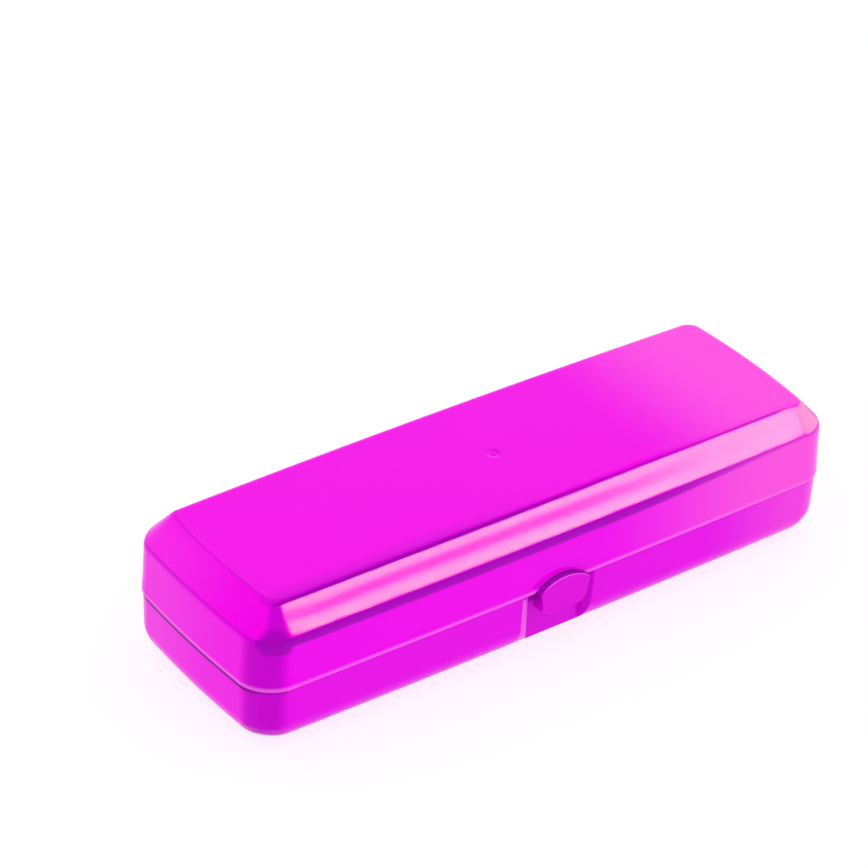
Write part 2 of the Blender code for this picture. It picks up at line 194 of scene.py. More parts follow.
def pick(test, kind="VERT"):
    """In edit mode, selects the vertices, edges or faces that pass a test."""
    bpy.ops.mesh.select_mode(type=kind)
    bpy.ops.mesh.select_all(action="DESELECT")
    mesh = bpy.context.object.data
    shape = bmesh.from_edit_mesh(mesh)
    for part in {"VERT": shape.verts, "EDGE": shape.edges, "FACE": shape.faces}[kind]:
        if test(part):
            part.select_set(True)
    shape.select_flush_mode()
    bmesh.update_edit_mesh(mesh)


def middle(edge):
    return (edge.verts[0].co + edge.verts[1].co) / 2


def is_open(edge):
    return edge.is_boundary or edge.is_wire


def close_normals(piece):
    """Merges doubles and turns every face outwards."""
    activate(piece)
    bpy.ops.object.mode_set(mode="EDIT")
    bpy.ops.mesh.select_all(action="SELECT")
    bpy.ops.mesh.remove_doubles(threshold=MERGE_DISTANCE)
    bpy.ops.mesh.normals_make_consistent(inside=False)
    bpy.ops.object.mode_set(mode="OBJECT")


def combine(target, tool, operation):
    """Joins a tool body to the target or cuts it away, and throws the tool away."""
    activate(target)
    step = target.modifiers.new("combine", "BOOLEAN")
    step.operation = operation
    step.solver = "EXACT"
    step.object = tool
    bpy.ops.object.modifier_apply(modifier=step.name)
    bpy.data.objects.remove(tool)


def soften_edges(piece, test, width, segments):
    """Rounds the edges that pass a test."""
    activate(piece)
    bpy.ops.object.mode_set(mode="EDIT")
    pick(test, "EDGE")
    bpy.ops.mesh.bevel(offset=width, segments=segments, affect="EDGES", clamp_overlap=True)
    bpy.ops.object.mode_set(mode="OBJECT")


def shade(piece, degrees=14):
    """Shades smooth up to an angle, with each flat's own direction kept right up to its rounded edges."""
    activate(piece)
    bpy.ops.object.shade_smooth_by_angle(angle=math.radians(degrees))
    step = piece.modifiers.new("flats", "WEIGHTED_NORMAL")
    step.weight = 70
    step.thresh = SAME_PLACE
    step.keep_sharp = True
    bpy.ops.object.modifier_apply(modifier=step.name)
    deselect()


# ---------------------------------------------------------------- lofted shells

def pull(test, value, reach, connected=True):
    """Pulls the picked points, and their neighbours within reach along a parabola."""
    pick(test)
    bpy.ops.transform.translate(
        value=value,
        use_proportional_edit=True,
        use_proportional_connected=connected,
        proportional_edit_falloff="INVERSE_SQUARE",
        proportional_size=reach,
    )


def add_ring(inset, height):
    """The case's bowed outline as a loop of edges, drawn in by an inset.

    Above the shoulder its corners tighten and it is crowned.
    """
    half_x = CASE_LENGTH / 2 - END_BOW - inset
    half_y = CASE_WIDTH / 2 - SIDE_BOW - inset
    climb = min(max((height - SHOULDER) / (LID_TOP - SHOULDER), 0.0), 1.0)
    radius = CORNER_RADIUS - CORNER_TIGHTENING * inset - CHAMFER_TIGHTENING * climb
    rise = LID_CROWN * climb
    deselect()
    bpy.ops.mesh.primitive_plane_add(size=2, enter_editmode=True, location=(0, 0, 0))
    bpy.ops.transform.resize(value=(half_x, half_y, 1))
    bpy.ops.transform.translate(value=(0, 0, height))
    bpy.ops.mesh.bevel(
        offset=max(radius, INNER_CORNER_RADIUS), segments=CORNER_STEPS, affect="VERTICES", profile=0.5,
    )
    bpy.ops.mesh.delete(type="ONLY_FACE")
    pick(lambda edge: abs(middle(edge).x) < HAIR, "EDGE")
    bpy.ops.mesh.subdivide(number_cuts=SIDE_STEPS - 1)
    pick(lambda edge: abs(middle(edge).y) < HAIR, "EDGE")
    bpy.ops.mesh.subdivide(number_cuts=END_STEPS - 1)
    for side in (-1, 1):
        pull(lambda v: abs(v.co.x) < SAME_PLACE and v.co.y * side > 0, (0, side * SIDE_BOW, 0), half_x)
        pull(lambda v: abs(v.co.y) < SAME_PLACE and v.co.x * side > 0, (side * END_BOW, 0, 0), half_y)
    if rise:
        pull(lambda v: abs(v.co.x) < SAME_PLACE, (0, 0, rise), CASE_LENGTH / 2, connected=False)
    bpy.ops.object.mode_set(mode="OBJECT")
    return bpy.context.object


def close_loop():
    """In edit mode, draws the open loop together on the case's long middle line, a little shorter."""
    pick(is_open, "EDGE")
    bpy.ops.mesh.extrude_region_move()
    bpy.ops.transform.resize(value=(0.96, 0, 1), center_override=(0, 0, 0))
    bpy.ops.mesh.select_all(action="SELECT")
    bpy.ops.mesh.remove_doubles(threshold=MERGE_DISTANCE)


def loft(name, section):
    """Bridges the case's outline from ring to ring along a closed section of (inset, height) points."""
    shell = add_ring(*section[0])
    label(shell, name)
    bpy.ops.object.mode_set(mode="EDIT")
    close_loop()
    for point in section[1:]:
        ring = add_ring(*point)
        activate(shell)
        ring.select_set(True)
        bpy.ops.object.join()
        bpy.ops.object.mode_set(mode="EDIT")
        pick(is_open, "EDGE")
        bpy.ops.mesh.bridge_edge_loops()
    close_loop()
    close_normals(shell)
    return shell


def round_corners(points):
    """Turns each (across, up, radius) corner of an open line into an arc. A radius of 0 stays sharp."""
    line = [Vector(points[0][:2])]
    for before, corner, after in zip(points, points[1:], points[2:]):
        here, radius = Vector(corner[:2]), corner[2]
        if radius == 0:
            line.append(here)
            continue
        back = (Vector(before[:2]) - here).normalized()
        onward = (Vector(after[:2]) - here).normalized()
        half = back.angle(onward) / 2
        centre = here + (back + onward).normalized() * radius / math.sin(half)
        start = (here + back * radius / math.tan(half) - centre).normalized()
        end = (here + onward * radius / math.tan(half) - centre).normalized()
        count = SMALL_ARC_STEPS if radius < SMALL_ARC_RADIUS else ARC_STEPS
        line += [centre + radius * start.slerp(end, step / count) for step in range(count + 1)]
    line.append(Vector(points[-1][:2]))
    return line


# ---------------------------------------------------------------- tool bodies

def add_block(low, high):
    """A box between two corners, as a start for a tool body."""
    low, high = Vector(low), Vector(high)
    deselect()
    bpy.ops.mesh.primitive_cube_add(size=1, enter_editmode=True, location=(0, 0, 0))
    bpy.ops.transform.resize(value=high - low)
    bpy.ops.transform.translate(value=(low + high) / 2)
    bpy.ops.object.mode_set(mode="OBJECT")
    return bpy.context.object


def add_bar(radius, length, place, axis, sides):
    """A round bar along an axis, as a start for a tool body or a turned piece."""
    deselect()
    bpy.ops.mesh.primitive_cylinder_add(vertices=sides, radius=radius, depth=length, location=(0, 0, 0))
    bar = bpy.context.object
    turn = {"x": Matrix.Rotation(math.pi / 2, 4, "Y"), "y": Matrix.Rotation(-math.pi / 2, 4, "X")}
    bar.matrix_world = Matrix.Translation(place) @ turn.get(axis, Matrix.Identity(4))
    bpy.ops.object.transform_apply(location=True, rotation=True, scale=True)
    return bar


def cut_off(piece, place, normal):
    """Saws the piece along a plane, keeps what lies against the normal and closes the cut."""
    activate(piece)
    bpy.ops.object.mode_set(mode="EDIT")
    bpy.ops.mesh.select_all(action="SELECT")
    bpy.ops.mesh.bisect(plane_co=place, plane_no=normal, use_fill=True, clear_outer=True)
    bpy.ops.object.mode_set(mode="OBJECT")


def add_lug(centre_x, width, upward):
    """A hinge barrel with its gusset into the bowed wall, above the parting line or below it."""
    bow = SIDE_BOW * (2 * (abs(centre_x) + width / 2) / CASE_LENGTH) ** 2
    wall_y = BACK - bow - BASE_SETBACK - WALL / 2
    side = 1 if upward else -1
    low = (centre_x - width / 2, wall_y, HINGE.z + side * HINGE_CLEARANCE)
    high = (centre_x + width / 2, HINGE.y, HINGE.z + side * LUG_REACH)
    gusset = add_block([min(a, b) for a, b in zip(low, high)], [max(a, b) for a, b in zip(low, high)])
    activate(gusset)
    bpy.ops.object.mode_set(mode="EDIT")
    pick(lambda v: v.co.y > HINGE.y - HAIR and abs(v.co.z - HINGE.z) > LUG_REACH / 2)
    bpy.ops.transform.translate(value=(0, 0, side * (KNUCKLE_RADIUS - LUG_REACH)))
    pick(lambda v: v.co.y > HINGE.y - HAIR and abs(v.co.z - HINGE.z) < KNUCKLE_RADIUS / 2)
    bpy.ops.transform.translate(value=(0, -LUG_TOE, 0))
    bpy.ops.object.mode_set(mode="OBJECT")
    barrel = add_bar(KNUCKLE_RADIUS, width, (centre_x, HINGE.y, HINGE.z), "x", 32)
    combine(gusset, barrel, "UNION")
    return gusset


def bore(target, centre_x):
    """Drills one hinge's lugs for its pin."""
    drill = add_bar(PIN_RADIUS + FIT_GAP, BORE_LENGTH, (centre_x, HINGE.y, HINGE.z), "x", 32)
    combine(target, drill, "DIFFERENCE")


# ---------------------------------------------------------------- the pieces

def model_lid():
    """The lid: bead at the rim, drafted wall, chamfer and crowned top, all with its inner face."""
    bead_top = LID_RIM + RIM_BEAD_HEIGHT
    lid = loft("lid", round_corners([
        (2 * CHAMFER_INSET, LID_TOP, 0),
        (LID_DRAFT + CHAMFER_INSET, LID_TOP, TOP_EDGE_RADIUS),
        (LID_DRAFT, SHOULDER, SHOULDER_RADIUS),
        (*LID_WAIST, 0),
        (0.0, bead_top + RIM_SWELL, 0),
        (-RIM_BEAD, bead_top, 0),
        (-RIM_BEAD, LID_RIM, RIM_ROUND),
        (WALL / 2, LID_RIM, 0),
        (WALL, LID_RIM + 2 * HAIR, RIM_ROUND),
        (WALL + LID_DRAFT, INNER_SHOULDER, SHOULDER_RADIUS - WALL),
        (INNER_TOP_INSET, LID_TOP - WALL, TOP_EDGE_RADIUS - WALL),
        (2 * CHAMFER_INSET, LID_TOP - WALL, 0),
    ]))
    depth = RECESS_DEPTH + WALL / 2
    place = (0, FRONT + WALL / 2 + depth / 2, HOUSING_CROWN - HOUSING_RADIUS)
    housing = add_bar(HOUSING_RADIUS, depth, place, "y", 96)
    cut_off(housing, (0, 0, LID_RIM), (0, 0, -1))
    combine(lid, housing, "UNION")
    place = (0, RECESS_FLOOR - ARCH_DEPTH / 2, ARCH_CROWN - ARCH_RADIUS)
    combine(lid, add_bar(ARCH_RADIUS, ARCH_DEPTH, place, "y", 96), "DIFFERENCE")
    for centre_x in HINGE_PLACES:
        combine(lid, add_lug(centre_x, KNUCKLE_WIDTH, True), "UNION")
        bore(lid, centre_x)
    mark_gate(lid)
    shade(lid)
    return lid


def mark_gate(lid):
    """The mark that the sprue leaves: a shallow dish with a low nub."""
    crest = LID_TOP + LID_CROWN
    deselect()
    bpy.ops.mesh.primitive_uv_sphere_add(
        segments=48, ring_count=24, radius=GATE_BALL_RADIUS, enter_editmode=True, location=(0, 0, 0),
    )
    bpy.ops.transform.translate(value=(0, 0, crest + GATE_BALL_RADIUS - GATE_DEPTH))
    ball = bpy.context.object
    cut_off(ball, (0, 0, crest + GATE_CLEARANCE), (0, 0, 1))
    combine(lid, ball, "DIFFERENCE")
    nub = add_bar(NUB_RADIUS, NUB_LENGTH, (0, 0, crest - NUB_DROP), "z", 24)
    soften_edges(nub, lambda edge: middle(edge).z > crest - NUB_DROP + HAIR, NUB_ROUND, 2)
    combine(lid, nub, "UNION")


def model_base():
    """The base: filleted floor, drafted wall, rim with the lid's centring lip, and its inner face."""
    lip = WALL + FIT_GAP
    base = loft("base", round_corners([
        (FLOOR_INSET, 0.0, 0),
        (BASE_FOOT, 0.0, BASE_FILLET),
        (BASE_SETBACK, PARTING, RIM_ROUND),
        (lip, PARTING, 0),
        (lip, PARTING + LIP_BEVEL_START, 0),
        (lip + LIP_BEVEL, PARTING + LIP_HEIGHT, 0),
        (lip + LIP_THICKNESS, PARTING + LIP_HEIGHT, RIM_ROUND),
        (lip + LIP_THICKNESS, PARTING - LIP_DEPTH, 0),
        (BASE_SETBACK + WALL, PARTING - LIP_FOOT_DEPTH, 0),
        (BASE_FOOT + WALL, WALL, BASE_FILLET - WALL),
        (FLOOR_INSET, WALL, 0),
    ]))
    low = (-LIP_GAP_HALF, FRONT - OVERSHOOT, PARTING + 2 * HAIR)
    high = (LIP_GAP_HALF, FRONT + LIP_GAP_DEPTH, PARTING + OVERSHOOT)
    combine(base, add_block(low, high), "DIFFERENCE")
    combine(base, recess_housing(), "UNION")
    combine(base, recess_tool(), "DIFFERENCE")
    place = (0, RECESS_FLOOR + CATCH_SINK, PARTING - CATCH_DROP)
    combine(base, add_bar(CATCH_RADIUS, CATCH_WIDTH, place, "x", 32), "UNION")
    for centre_x in HINGE_PLACES:
        for side in (-1, 1):
            offset = side * (KNUCKLE_WIDTH / 2 + FIT_GAP + EAR_WIDTH / 2)
            combine(base, add_lug(centre_x + offset, EAR_WIDTH, False), "UNION")
        bore(base, centre_x)
    shade(base)
    return base


def recess_housing():
    """The block that the thumb recess is cut from, which ends in the middle of the base's own walls."""
    form = loft("form", round_corners([
        (FLOOR_INSET, WALL / 2, 0),
        (BASE_FOOT + WALL / 2, WALL / 2, BASE_FILLET - WALL / 2),
        (BASE_SETBACK + WALL / 2, PARTING, 0),
        (FLOOR_INSET, PARTING, 0),
    ]))
    half = RECESS_HALF + WALL
    low = (-half, FRONT - OVERSHOOT, -OVERSHOOT)
    housing = add_block(low, (half, RECESS_FLOOR + WALL, PARTING - HAIR))
    combine(housing, form, "INTERSECT")
    return housing


def recess_tool():
    """What the thumb recess takes away: its sides curve outwards until they run into the front wall."""
    half = RECESS_INNER_HALF
    front = FRONT + BASE_SETBACK + FLARE_RADIUS * (1 - math.sin(FLARE_ANGLES[0]))
    tool = add_block((-half, front, -OVERSHOOT), (half, RECESS_FLOOR, PARTING + OVERSHOOT))
    steps = [
        (FLARE_RADIUS * (math.sin(b) - math.sin(a)), FLARE_RADIUS * (math.cos(a) - math.cos(b)))
        for a, b in zip(FLARE_ANGLES, FLARE_ANGLES[1:])
    ]
    activate(tool)
    for forward, wider in steps + [FLARE_RUN_OUT]:
        bpy.ops.object.mode_set(mode="EDIT")
        pick(lambda face: face.calc_center_median().y < front + SAME_PLACE, "FACE")
        bpy.ops.mesh.extrude_region_move(TRANSFORM_OT_translate={"value": (0, -forward, 0)})
        bpy.ops.transform.resize(value=((half + wider) / half, 1, 1), center_override=(0, 0, 0))
        bpy.ops.object.mode_set(mode="OBJECT")
        half, front = half + wider, front - forward
    return tool


def model_latch():
    """The thumb tab: a pad with an arched top and tapered sides, on a hollow stem with a hook."""
    foot = PARTING - PAD_DROP
    latch = model_pad(foot)
    stem_front = FRONT - STEM_SINK
    stem_back = RECESS_FLOOR - CATCH_REACH - FIT_GAP - HOOK_DEPTH
    stem_foot = foot + STEM_FOOT_RISE
    crown = PARTING + STEM_RISE
    place = (0, (stem_back + stem_front) / 2, crown - STEM_TOP_RADIUS)
    stem = add_bar(STEM_TOP_RADIUS, stem_back - stem_front, place, "y", 128)
    for side in (1, -1):
        cut_off(stem, (side * STEM_HALF, 0, 0), (side, 0, 0))
    cut_off(stem, (0, 0, stem_foot), (0, 0, -1))
    combine(latch, stem, "UNION")
    inner = STEM_HALF - TAB_WALL
    low = (-inner, FRONT - PAD_PROUD + TAB_WALL, stem_foot + TAB_WALL)
    combine(latch, add_block(low, (inner, stem_back + OVERSHOOT, PARTING)), "DIFFERENCE")
    low = (-STEM_HALF, stem_back - TAB_WALL, stem_foot)
    hook = add_block(low, (STEM_HALF, stem_back + HOOK_DEPTH, stem_foot + HOOK_HEIGHT))

    def at_tip(edge):
        return middle(edge).y > stem_back + HOOK_DEPTH - HAIR and abs(middle(edge).x) < STEM_HALF - HAIR

    soften_edges(hook, at_tip, HOOK_ROUND, 2)
    combine(latch, hook, "UNION")
    low = (-inner, stem_back - TAB_WALL, crown - 2 * TAB_WALL)
    combine(latch, add_block(low, (inner, RECESS_FLOOR - FIT_GAP, crown - TAB_WALL)), "UNION")
    label(latch, "latch")
    shade(latch, 40)
    return latch


def model_pad(foot):
    """The tab's pad down to its foot, with rounded corners and front edges."""
    front, back = FRONT - PAD_PROUD, FRONT - FIT_GAP
    top_centre = PARTING + PAD_RISE - PAD_TOP_RADIUS
    shoulder = top_centre + math.sqrt(PAD_TOP_RADIUS ** 2 - PAD_HALF ** 2)
    lean = (PAD_HALF - PAD_FOOT_HALF) / (shoulder - foot)
    place = (0, (front + back) / 2, top_centre)
    pad = add_bar(PAD_TOP_RADIUS, back - front, place, "y", 160)
    for side in (-1, 1):
        cut_off(pad, (side * PAD_HALF, 0, shoulder), (side, 0, -lean))
    cut_off(pad, (0, 0, foot), (0, 0, -1))

    def runs_through(edge):
        return abs(edge.verts[0].co.y - edge.verts[1].co.y) > (back - front) / 2

    def at_foot(edge):
        return runs_through(edge) and middle(edge).z < foot + HAIR

    def at_shoulder(edge):
        beside = abs(abs(middle(edge).x) - PAD_HALF) < 2 * HAIR
        return runs_through(edge) and beside and edge.calc_face_angle(0) > 0.3

    soften_edges(pad, at_foot, PAD_CORNER_RADIUS, 8)
    soften_edges(pad, at_shoulder, PAD_SHOULDER_RADIUS, 5)
    soften_edges(pad, lambda edge: middle(edge).y < front + SAME_PLACE, PAD_EDGE_RADIUS, 4)
    return pad


def model_pin(side, name):
    """A headed hinge pin with its end chamfered and its head rounded."""
    centre_x = side * HINGE_SPACING / 2
    span = KNUCKLE_WIDTH / 2 + FIT_GAP + EAR_WIDTH
    place = (centre_x + side * FIT_GAP / 2, HINGE.y, HINGE.z)
    pin = add_bar(PIN_RADIUS, 2 * span + FIT_GAP, place, "x", 32)
    head_start = abs(centre_x) + span + FIT_GAP
    head_centre = (side * head_start, HINGE.y, HINGE.z)

    def goes_round(edge):
        return abs(edge.verts[0].co.x - edge.verts[1].co.x) < SAME_PLACE / 10

    def on_head(edge):
        outside = middle(edge).x * side > head_start + PIN_HEAD_HEIGHT - 10 * HAIR
        return goes_round(edge) and outside and len(edge.link_faces) == 2

    def on_end(edge):
        return goes_round(edge) and middle(edge).x * side < abs(centre_x) - span + HAIR

    activate(pin)
    bpy.ops.object.mode_set(mode="EDIT")
    pick(lambda face: face.normal.x * side > 0.9, "FACE")
    bpy.ops.mesh.extrude_region_move()
    bpy.ops.transform.resize(value=(1, PIN_HEAD_GROWTH, PIN_HEAD_GROWTH), center_override=head_centre)
    bpy.ops.mesh.extrude_region_move(TRANSFORM_OT_translate={"value": (side * PIN_HEAD_HEIGHT, 0, 0)})
    pick(on_head, "EDGE")
    bpy.ops.mesh.bevel(offset=PIN_HEAD_ROUND, segments=3, affect="EDGES")
    pick(on_end, "EDGE")
    bpy.ops.mesh.bevel(offset=PIN_CHAMFER, segments=2, affect="EDGES")
    bpy.ops.object.mode_set(mode="OBJECT")
    label(pin, name)
    close_normals(pin)
    shade(pin, 35)
    return pin


# ---------------------------------------------------------------- finishes

def linear(hex_colour):
    """An sRGB hex colour as the linear colour that a shader takes."""
    channels = [int(hex_colour[place:place + 2], 16) / 255 for place in (1, 3, 5)]
    return [c / 12.92 if c <= 0.04045 else ((c + 0.055) / 1.055) ** 2.4 for c in channels] + [1.0]


def add_node(tree, kind, inputs=None, **settings):
    """Adds a node with its settings. An input is a value, or the output of another node."""
    node = tree.nodes.new("ShaderNode" + kind)
    for name, value in settings.items():
        setattr(node, name, value)
    for name, value in (inputs or {}).items():
        if isinstance(value, bpy.types.NodeSocket):
            tree.links.new(value, node.inputs[name])
        else:
            node.inputs[name].default_value = value
    return node


# The dye's colour and its random cloud, then the tones laid over them, most of them painted light and
# shade
BODY = "#F700EA"
BODY_CLOUDED = "#F000E6"
# Painted shading of the long walls of the base and the lid, by the way they face
PAINTED_BASE_WALL_SHADING = "#EC00EC"
PAINTED_LID_WALL_SHADING = "#F400F1"
# Painted tint under the reflection on the front chamfer
PAINTED_STRIP_TINT = "#F700E0"
# Painted light towards the ends of the case
PAINTED_END_LIGHT = "#FF58E2"
# Painted highlight on the bead, the recess's left mouth and the pad's bevels
PAINTED_HIGHLIGHT = "#FF74F2"
# Painted highlight at the right end of the chamfer's reflection
PAINTED_STRIP_END_HIGHLIGHT = "#FF9CD6"
# Painted shade, in three depths
PAINTED_SHADE = "#C400CE"
PAINTED_DEEPER_SHADE = "#A800BA"
PAINTED_DARKEST_SHADE = "#9A00AE"
# Painted shadow in the seam under the bead
PAINTED_SEAM_SHADOW = "#3C0052"
PAD_TONE = "#E400E2"

# Real sizes of the patterns
CLOUD_SIZE = 0.026
POLISH_SIZE = 0.008
WAVE_SIZE = 0.018
WAVE_HEIGHT = 0.000006

# The polished mould's gloss. Little of it shows against the strong dye, so the level is low.
ROUGHNESS = (0.02, 0.035)
IOR = 1.49
SPECULAR_LEVEL = 0.09
SPECULAR_TINT = (1.0, 0.40, 0.0, 1.0)

# A layer is a tone, its strength and the places that all have to hold. A place is a value, or the
# distance from a point, that climbs softly from none of the tone to all of it between two levels.
LONG_WALLS = ("crosswise", 0.80, 0.95)
FAR_LEFT = ("x", -0.088, -0.096)
LEFT_PART = ("x", -0.070, -0.085)
BELOW_SHOULDER = ("z", 0.0364, 0.0360)
RIGHT_CHAMFER = [("forth", -0.10, -0.20), ("upward", 0.20, 0.40)]
IN_RECESS = ("beside", 0.0130, 0.0124)
RECESS_OUTSIDE = ("y", -0.0286, -0.0292)
PAD_BEVEL = [("forth", -0.98, -0.92), ("forth", -0.30, -0.50)]
PAD_SIDE = [("y", -0.0353, -0.0349), ("forth", -0.60, -0.30)]
# Painted shade on the front left corner, below the shoulder
CORNER_LAYER = (PAINTED_SHADE, 0.90, [
    ("turned", 0.04, 0.46),
    ("x", 0.02, -0.02),
    ("y", 0.00, -0.02),
    ("z", 0.0362, 0.0350),
])
LID_LAYERS = [
    # The long walls in painted shading by the way they face, and painted light towards the ends
    (PAINTED_LID_WALL_SHADING, 1.0, [LONG_WALLS]),
    (PAINTED_END_LIGHT, 0.80, [("x", 0.036, 0.080)]),
    (PAINTED_END_LIGHT, 0.45, [("x", 0.012, 0.060), LONG_WALLS]),
    (PAINTED_END_LIGHT, 0.18, [FAR_LEFT, ("y", -0.018, 0.020)]),
    # A painted tint on the front chamfer under the soft box's reflection,
    # near the dye's colour and a little less blue
    (PAINTED_STRIP_TINT, 0.90, [
        ("across", -0.20, -0.08),
        ("forth", -0.35, -0.50),
        ("upward", 0.50, 0.58),
        ("upward", 0.80, 0.74),
    ]),
    # Painted highlight where the reflection ends on the right of the chamfer,
    # up to a painted dark line around it
    (PAINTED_STRIP_END_HIGHLIGHT, 0.90, RIGHT_CHAMFER + [
        ("across", 0.004, 0.06),
        ("across", 0.64, 0.56),
        ("z", 0.0361, 0.0366),
        ("z", 0.0430, 0.0420),
    ]),
    (PAINTED_SHADE, 0.60, RIGHT_CHAMFER + [("across", 0.54, 0.64), ("across", 0.73, 0.69), ("z", 0.0352, 0.0360)]),
    # Painted shade at the left corners, the top's edges and the shoulder,
    # and a painted dark spot on the front left corner
    CORNER_LAYER,
    (PAINTED_SHADE, 0.85, [
        ("across", -0.56, -0.44),
        ("across", -0.10, -0.20),
        ("forth", -0.35, -0.45),
        ("z", 0.0350, 0.0362),
    ]),
    (PAINTED_SHADE, 0.60, [("bowed", -0.0200, -0.0256), ("upward", 0.68, 0.76), ("x", 0.010, -0.050)]),
    (PAINTED_DARKEST_SHADE, 0.90, [("bowed", -0.0250, -0.0258), ("upward", 0.68, 0.74), ("x", 0.060, -0.020)]),
    (PAINTED_DARKEST_SHADE, 0.60, [("bowed", -0.0255, -0.0260), ("upward", 0.70, 0.78), ("x", 0.088, 0.080)]),
    (PAINTED_SHADE, 0.55, [("upward", 0.930, 0.965), ("upward", 0.998, 0.985), ("across", -0.05, -0.12)]),
    (PAINTED_SHADE, 0.60, [("z", 0.0352, 0.0356), BELOW_SHOULDER, ("across", -0.50, -0.80)]),
    (PAINTED_DEEPER_SHADE, 0.95, [
        ("bend", 0.0330, 0.0341),
        BELOW_SHOULDER,
        ("forth", -0.45, -0.60),
        ("x", 0.140, 0.010),
    ]),
    (PAINTED_DEEPER_SHADE, 0.90, [((-0.0940, -0.0322, 0.0348), 0.0064, 0.0042), ("z", 0.0312, 0.0322)]),
    # Painted highlight on the soft bead at the rim
    (PAINTED_HIGHLIGHT, 0.55, [("z", 0.0216, 0.0206), ("y", 0.0345, 0.0338)]),
]
BASE_LAYERS = [
    # The long walls in painted shading by the way they face, and painted light towards the ends
    (PAINTED_BASE_WALL_SHADING, 1.0, [LONG_WALLS]),
    (PAINTED_END_LIGHT, 0.55, [("x", 0.050, 0.095)]),
    (PAINTED_END_LIGHT, 0.20, [FAR_LEFT, ("y", -0.010, 0.020)]),
    CORNER_LAYER,
    # The shadowed seam under the bead, darkest on the left end
    (PAINTED_SEAM_SHADOW, 0.95, [("z", 0.0185, 0.0189), ("across", -0.70, -0.98), LEFT_PART]),
    (PAINTED_DARKEST_SHADE, 0.75, [("z", 0.0188, 0.0192), ("across", -0.02, -0.30), LEFT_PART]),
    # The thumb recess: painted shade on its floor and its upper left, a painted highlight on its mouth
    # on the left, and painted shade on its mouth on the right
    (PAINTED_SHADE, 0.25, [IN_RECESS, ("y", -0.0326, -0.0318), RECESS_OUTSIDE]),
    (PAINTED_DARKEST_SHADE, 0.90, [
        IN_RECESS,
        ("y", -0.0322, -0.0314),
        RECESS_OUTSIDE,
        ("x", -0.0060, -0.0085),
        ("z", 0.0150, 0.0180),
    ]),
    (PAINTED_HIGHLIGHT, 0.60, [
        ("x", -0.0131, -0.0127),
        ("x", -0.0098, -0.0101),
        ("y", -0.0306, -0.0312),
        ("z", 0.0192, 0.0184),
    ]),
    (PAINTED_SHADE, 0.60, [
        ("across", -0.20, -0.60),
        ("x", 0.0090, 0.0098),
        ("x", 0.0160, 0.0150),
        RECESS_OUTSIDE,
    ]),
]
LATCH_LAYERS = [
    (PAD_TONE, 1.0, [("forth", -0.90, -0.98)]),
    # Painted highlights on the bevels of its arch, its right side and its foot
    (PAINTED_HIGHLIGHT, 1.0, [("forth", -0.98, -0.90), ("upward", 0.15, 0.40), ("x", -0.0080, -0.0050)]),
    (PAINTED_HIGHLIGHT, 0.65, PAD_BEVEL + [("across", 0.12, 0.30)]),
    (PAINTED_HIGHLIGHT, 0.65, PAD_BEVEL + [("upward", -0.12, -0.30)]),
    # Its side is in the shade of the arch
    (PAINTED_SHADE, 0.70, PAD_SIDE),
    (PAINTED_DEEPER_SHADE, 0.95, PAD_SIDE + [("z", 0.0155, 0.0180)]),
]

# Where the painted dark band under the shoulder thins towards the right, and by how much
BAND_RISE_START = 0.020
BAND_RISE_END = 0.090
BAND_RISE = 0.0022


def surface_values(tree):
    """What the layers read: the place on the case in metres, and the way that the surface faces.

    "beside" is the distance from the case's middle, "bowed" is y without the bow of the sides, and
    "bend" is z less the rise of the painted dark band. "turned" is highest halfway round a corner.
    """
    coordinates = add_node(tree, "TexCoord")
    place, normal = coordinates.outputs["Object"], coordinates.outputs["Normal"]
    x, y, z = add_node(tree, "SeparateXYZ", {0: place}).outputs
    across, forth, upward = add_node(tree, "SeparateXYZ", {0: normal}).outputs
    unsigned = add_node(tree, "VectorMath", {0: normal}, operation="ABSOLUTE").outputs[0]
    lengthwise, crosswise, _ = add_node(tree, "SeparateXYZ", {0: unsigned}).outputs
    turned = add_node(tree, "Math", {0: lengthwise, 1: crosswise}, operation="MINIMUM").outputs[0]
    beside = add_node(tree, "Math", {0: x}, operation="ABSOLUTE").outputs[0]
    square = add_node(tree, "Math", {0: x, 1: x}, operation="MULTIPLY").outputs[0]
    bow = {0: square, 1: -SIDE_BOW / (CASE_LENGTH / 2) ** 2, 2: y}
    bowed = add_node(tree, "Math", bow, operation="MULTIPLY_ADD").outputs[0]
    taper = {"Value": x, "From Min": BAND_RISE_START, "From Max": BAND_RISE_END, "To Max": BAND_RISE}
    rise = add_node(tree, "MapRange", taper, interpolation_type="SMOOTHSTEP").outputs[0]
    bend = add_node(tree, "Math", {0: z, 1: rise}, operation="SUBTRACT").outputs[0]
    return {
        "place": place, "x": x, "y": y, "z": z, "beside": beside, "bowed": bowed, "bend": bend,
        "across": across, "forth": forth, "upward": upward, "crosswise": crosswise, "turned": turned,
    }


def lay_tone(tree, values, colour, tone, strength, places):
    """Lays a tone over the colour where all of its places hold."""
    mask = strength
    for place, start, end in places:
        if isinstance(place, str):
            level = values[place]
        else:
            apart = {0: values["place"], 1: place}
            level = add_node(tree, "VectorMath", apart, operation="DISTANCE").outputs["Value"]
        climb = {"Value": level, "From Min": start, "From Max": end}
        step = add_node(tree, "MapRange", climb, interpolation_type="SMOOTHSTEP").outputs[0]
        mask = add_node(tree, "Math", {0: mask, 1: step}, operation="MULTIPLY").outputs[0]
    return add_node(tree, "Mix", {0: mask, 6: colour, 7: linear(tone)}, data_type="RGBA").outputs[2]


